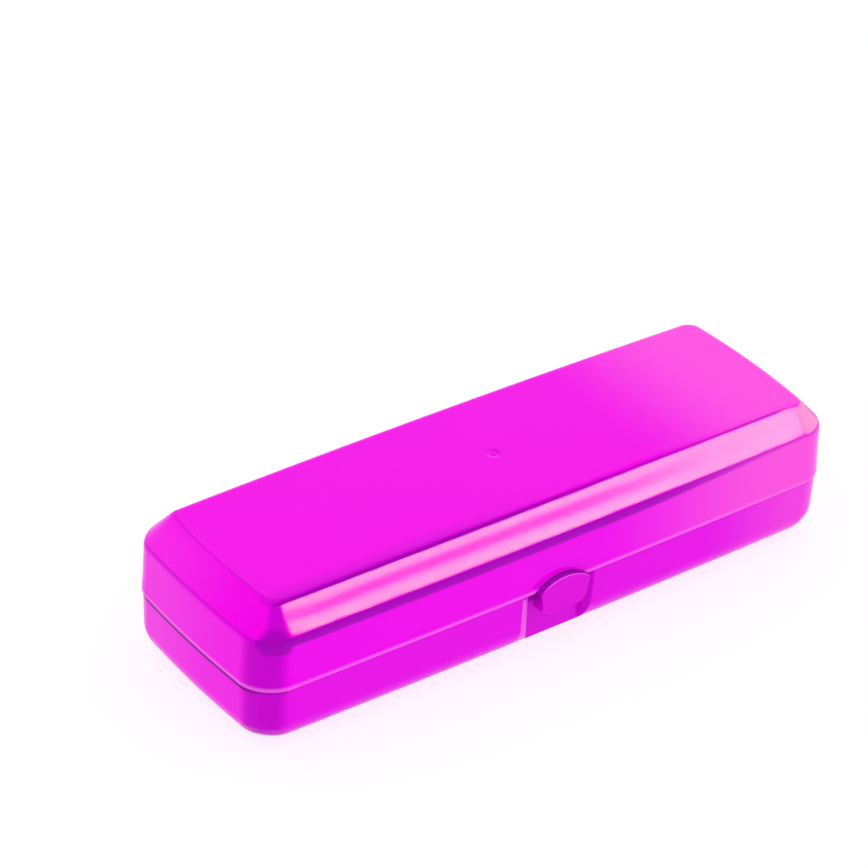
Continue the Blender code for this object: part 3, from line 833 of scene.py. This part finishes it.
def moulded_polypropylene(name, layers):
    """Injection-moulded polypropylene, dyed through and lightly cloudy.

    Its colour drifts softly. Layers at set places lay painted shade, painted shadow, painted light,
    painted highlights and a painted tint under the chamfer's reflection over it. A polished mould
    gives it a high gloss, with the faint waviness of shrinkage.
    """
    material = bpy.data.materials.new(name)
    material.use_nodes = True
    tree = material.node_tree
    shader = tree.nodes["Principled BSDF"]
    values = surface_values(tree)
    place = values["place"]
    clouds = {"Vector": place, "Scale": 1 / CLOUD_SIZE, "Detail": 2.0}
    cloud = add_node(tree, "TexNoise", clouds).outputs["Fac"]
    drift = {0: cloud, 6: linear(BODY), 7: linear(BODY_CLOUDED)}
    colour = add_node(tree, "Mix", drift, data_type="RGBA").outputs[2]
    for tone, strength, places in layers:
        colour = lay_tone(tree, values, colour, tone, strength, places)
    tree.links.new(colour, shader.inputs["Base Color"])
    strokes = {"Vector": place, "Scale": 1 / POLISH_SIZE, "Detail": 3.0}
    polish = add_node(tree, "TexNoise", strokes).outputs["Fac"]
    low, high = ROUGHNESS
    gloss = {"Value": polish, "From Min": 0.3, "From Max": 0.7, "To Min": low, "To Max": high}
    tree.links.new(add_node(tree, "MapRange", gloss).outputs[0], shader.inputs["Roughness"])
    waves = {"Vector": place, "Scale": 1 / WAVE_SIZE, "Detail": 1.0}
    wave = add_node(tree, "TexNoise", waves).outputs["Fac"]
    relief = add_node(tree, "Bump", {"Height": wave, "Strength": 1.0, "Distance": WAVE_HEIGHT})
    tree.links.new(relief.outputs["Normal"], shader.inputs["Normal"])
    shader.inputs["IOR"].default_value = IOR
    shader.inputs["Specular IOR Level"].default_value = SPECULAR_LEVEL
    shader.inputs["Specular Tint"].default_value = SPECULAR_TINT
    return material


def dress(piece, material, body, node):
    """Gives a piece its finish, the body that it rides on and the node that it stands for."""
    piece.data.materials.clear()
    piece.data.materials.append(material)
    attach(piece, body)
    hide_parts(node)


# ---------------------------------------------------------------- the camera and the studio

# The camera as it was fitted to the case's outline and edges, with its angles in degrees
CAMERA_AZIMUTH = -37.64
CAMERA_ELEVATION = 33.65
CAMERA_ROLL = 2.91
CAMERA_AIM = Vector((-0.01981, 0.0, 0.0576))
CAMERA_DISTANCE = 1.00296
CAMERA_LENS = 152.6
CAMERA_SENSOR = 36
CAMERA_SHIFT = (-0.00445, 0.0001)

# The soft box faces the middle of the front chamfer, from the direction that this mirrors to the camera
CHAMFER_MIDDLE = Vector((0.0, -0.0290, 0.0397))
TOWARDS_SOFT_BOX = Vector((0.507, -0.628, 0.587)).normalized()
SOFT_BOX_DISTANCE = 0.3
SOFT_BOX_WIDTH = 0.30
SOFT_BOX_HEIGHT = 0.08
SOFT_BOX_RADIANCE = 112

# The glow on the soft box. Its pairs are the places where it is dark and where it is bright.
ARC_MIDDLE = -0.0064
ARC_BEND = 1.420
ARC_FOOT = -0.0236
GLOW_TOP = (0.0068, 0.0050)
GLOW_FOOT = (-0.0076, -0.0060)
GLOW_LEFT = (-0.110, -0.108)
GLOW_RIGHT = (0.120, 0.104)
LEFT_ROUND_CENTRE = 0.00095
LEFT_ROUND_POWER = 4.0
LEFT_ROUND_RATE = 4000000.0
LEFT_ROUND_MOST = 0.05
LINE_HALF = 0.0048
LINE_DEPTH = 0.85
LINE_FADE = (0.118, 0.006)
WEAKENING = (0.012, 0.118)
WEAKEST = 0.78

# Strengths of the studio and of the paper, for all other light and for what the camera sees
STUDIO_LIGHT = (1.02, 1.0)
PAPER_GLOW = (0.68, 0.78)
PAPER_COLOUR = (0.25, 0.25, 0.25, 1)
PAPER_ROUGHNESS = 0.9
PAPER_SIZE = 6
PAPER_HEIGHT = -0.0001


def set_camera():
    a, e, r = (math.radians(angle) for angle in (CAMERA_AZIMUTH, CAMERA_ELEVATION, CAMERA_ROLL))
    back = Vector((math.sin(a) * math.cos(e), -math.cos(a) * math.cos(e), math.sin(e)))
    level = Vector((math.cos(a), math.sin(a), 0.0))
    upright = back.cross(level)
    right = level * math.cos(r) + upright * math.sin(r)
    up = upright * math.cos(r) - level * math.sin(r)
    place = CAMERA_AIM + back * CAMERA_DISTANCE
    deselect()
    bpy.ops.object.camera_add()
    camera = bpy.context.object
    camera.name = "camera"
    camera.matrix_world = Matrix.Translation(place) @ Matrix((right, up, back)).transposed().to_4x4()
    camera.data.sensor_width = CAMERA_SENSOR
    camera.data.lens = CAMERA_LENS
    camera.data.shift_x, camera.data.shift_y = CAMERA_SHIFT
    camera.data.clip_start = 0.01
    camera.data.dof.use_dof = False
    bpy.context.scene.camera = camera


def add_soft_box():
    """A soft box with its width level, which shows only in what the gloss mirrors."""
    deselect()
    bpy.ops.object.light_add(type="AREA")
    lamp = bpy.context.object
    lamp.name = "front_soft_box"
    place = CHAMFER_MIDDLE + TOWARDS_SOFT_BOX * SOFT_BOX_DISTANCE
    back = (place - CHAMFER_MIDDLE).normalized()
    level = Vector((1, 0, 0))
    right = (level - back * level.dot(back)).normalized()
    turn = Matrix((right, back.cross(right), back)).transposed().to_4x4()
    lamp.matrix_world = Matrix.Translation(place) @ turn
    lamp.data.shape = "RECTANGLE"
    lamp.data.size = SOFT_BOX_WIDTH
    lamp.data.size_y = SOFT_BOX_HEIGHT
    lamp.data.energy = SOFT_BOX_RADIANCE * math.pi * SOFT_BOX_WIDTH * SOFT_BOX_HEIGHT
    lamp.visible_camera = False
    lamp.visible_diffuse = False
    shape_glow(lamp)


def shape_glow(lamp):
    """Shapes the soft box's glow to what the flat of the bowed chamfer mirrors.

    Two tubes run along an arc with a dimmer line between them. They are rounded on the left, and
    weaker on the right, where the line fades out before them.
    """
    lamp.data.use_nodes = True
    tree = lamp.data.node_tree
    size = (lamp.data.size, lamp.data.size_y, 0.0)
    corner = [-side / 2 for side in size]
    spread = {0: add_node(tree, "NewGeometry").outputs["Parametric"], 1: size, 2: corner}
    spot = add_node(tree, "VectorMath", spread, operation="MULTIPLY_ADD").outputs[0]
    along, up, _ = add_node(tree, "SeparateXYZ", {0: spot}).outputs
    # The height above the arc
    centred = add_node(tree, "Math", {0: along, 1: ARC_MIDDLE}, operation="SUBTRACT").outputs[0]
    square = add_node(tree, "Math", {0: centred, 1: centred}, operation="MULTIPLY").outputs[0]
    curve = {0: square, 1: ARC_BEND, 2: ARC_FOOT}
    arc = add_node(tree, "Math", curve, operation="MULTIPLY_ADD").outputs[0]
    above = add_node(tree, "Math", {0: up, 1: arc}, operation="SUBTRACT").outputs[0]
    # The outline, with its left end drawn in more and more towards the top and the foot
    centre = add_node(tree, "Math", {0: above, 1: LEFT_ROUND_CENTRE}, operation="ADD").outputs[0]
    power = add_node(tree, "Math", {0: centre, 1: LEFT_ROUND_POWER}, operation="POWER").outputs[0]
    scaled = add_node(tree, "Math", {0: power, 1: LEFT_ROUND_RATE}, operation="MULTIPLY").outputs[0]
    bulge = add_node(tree, "Math", {0: scaled, 1: LEFT_ROUND_MOST}, operation="MINIMUM").outputs[0]
    inward = add_node(tree, "Math", {0: along, 1: bulge}, operation="SUBTRACT").outputs[0]
    outline = 1.0
    for reach, (dark, bright) in (
        (inward, GLOW_LEFT), (above, GLOW_TOP), (above, GLOW_FOOT), (along, GLOW_RIGHT),
    ):
        climb = {"Value": reach, "From Min": dark, "From Max": bright}
        side = add_node(tree, "MapRange", climb).outputs[0]
        outline = add_node(tree, "Math", {0: outline, 1: side}, operation="MULTIPLY").outputs[0]
    # The dimmer line along the arc
    away = add_node(tree, "Math", {0: above}, operation="ABSOLUTE").outputs[0]
    gap = {"Value": away, "From Min": LINE_HALF, "From Max": 0.0, "To Max": LINE_DEPTH}
    line = add_node(tree, "MapRange", gap, interpolation_type="SMOOTHSTEP").outputs[0]
    start, end = LINE_FADE
    fade = {"Value": along, "From Min": start, "From Max": end}
    shown = add_node(tree, "MapRange", fade, interpolation_type="SMOOTHSTEP").outputs[0]
    dimmed = add_node(tree, "Math", {0: line, 1: shown}, operation="MULTIPLY").outputs[0]
    lit = add_node(tree, "Math", {0: outline, 1: dimmed}, operation="SUBTRACT", use_clamp=True).outputs[0]
    # The weaker right
    start, end = WEAKENING
    weaker = {"Value": along, "From Min": start, "From Max": end, "To Min": 1.0, "To Max": WEAKEST}
    level = add_node(tree, "MapRange", weaker, interpolation_type="SMOOTHSTEP").outputs[0]
    glow = add_node(tree, "Math", {0: lit, 1: level}, operation="MULTIPLY").outputs[0]
    tree.links.new(glow, tree.nodes["Emission"].inputs["Strength"])


def light_level(tree, others, seen):
    """A strength for what the camera sees, also mirrored or through glass, and one for all other light."""
    rays = add_node(tree, "LightPath")
    shown = rays.outputs["Is Camera Ray"]
    for kind in ("Is Glossy Ray", "Is Transmission Ray"):
        either = {0: shown, 1: rays.outputs[kind]}
        shown = add_node(tree, "Math", either, operation="MAXIMUM").outputs[0]
    levels = {"Value": shown, "To Min": others, "To Max": seen}
    return add_node(tree, "MapRange", levels).outputs[0]


def set_studio():
    """A white studio, and matt white paper a hair under the case so that the two share no plane."""
    scene = bpy.context.scene
    scene.view_settings.view_transform = "Standard"
    world = bpy.data.worlds.new("white_studio")
    world.use_nodes = True
    scene.world = world
    sky = world.node_tree.nodes["Background"]
    sky.inputs["Color"].default_value = (1, 1, 1, 1)
    strength = light_level(world.node_tree, *STUDIO_LIGHT)
    world.node_tree.links.new(strength, sky.inputs["Strength"])
    deselect()
    bpy.ops.mesh.primitive_plane_add(size=PAPER_SIZE, location=(0, 0, PAPER_HEIGHT))
    floor = bpy.context.object
    floor.name = "floor"
    paper = bpy.data.materials.new("matt_white_paper")
    paper.use_nodes = True
    tree = paper.node_tree
    shader = tree.nodes["Principled BSDF"]
    shader.inputs["Base Color"].default_value = PAPER_COLOUR
    shader.inputs["Roughness"].default_value = PAPER_ROUGHNESS
    shader.inputs["Specular IOR Level"].default_value = 0.0
    shader.inputs["Emission Color"].default_value = (1, 1, 1, 1)
    tree.links.new(light_level(tree, *PAPER_GLOW), shader.inputs["Emission Strength"])
    floor.data.materials.append(paper)


# ---------------------------------------------------------------- putting it together

set_camera()
set_studio()
add_soft_box()

lid_plastic = moulded_polypropylene("polypropylene_moulded_lid", LID_LAYERS)
base_plastic = moulded_polypropylene("polypropylene_moulded_base", BASE_LAYERS)
latch_plastic = moulded_polypropylene("polypropylene_moulded_latch", LATCH_LAYERS)
pin_plastic = moulded_polypropylene("polypropylene_moulded_pin", [])
dress(model_base(), base_plastic, "base", "base_shell")
dress(model_lid(), lid_plastic, "lid", "lid_shell")
dress(model_latch(), latch_plastic, "latch", "latch_tab")
for side, hand in ((-1, "left"), (1, "right")):
    dress(model_pin(side, "pin_" + hand), pin_plastic, "base", "hinge_pin_" + hand)

deselect()
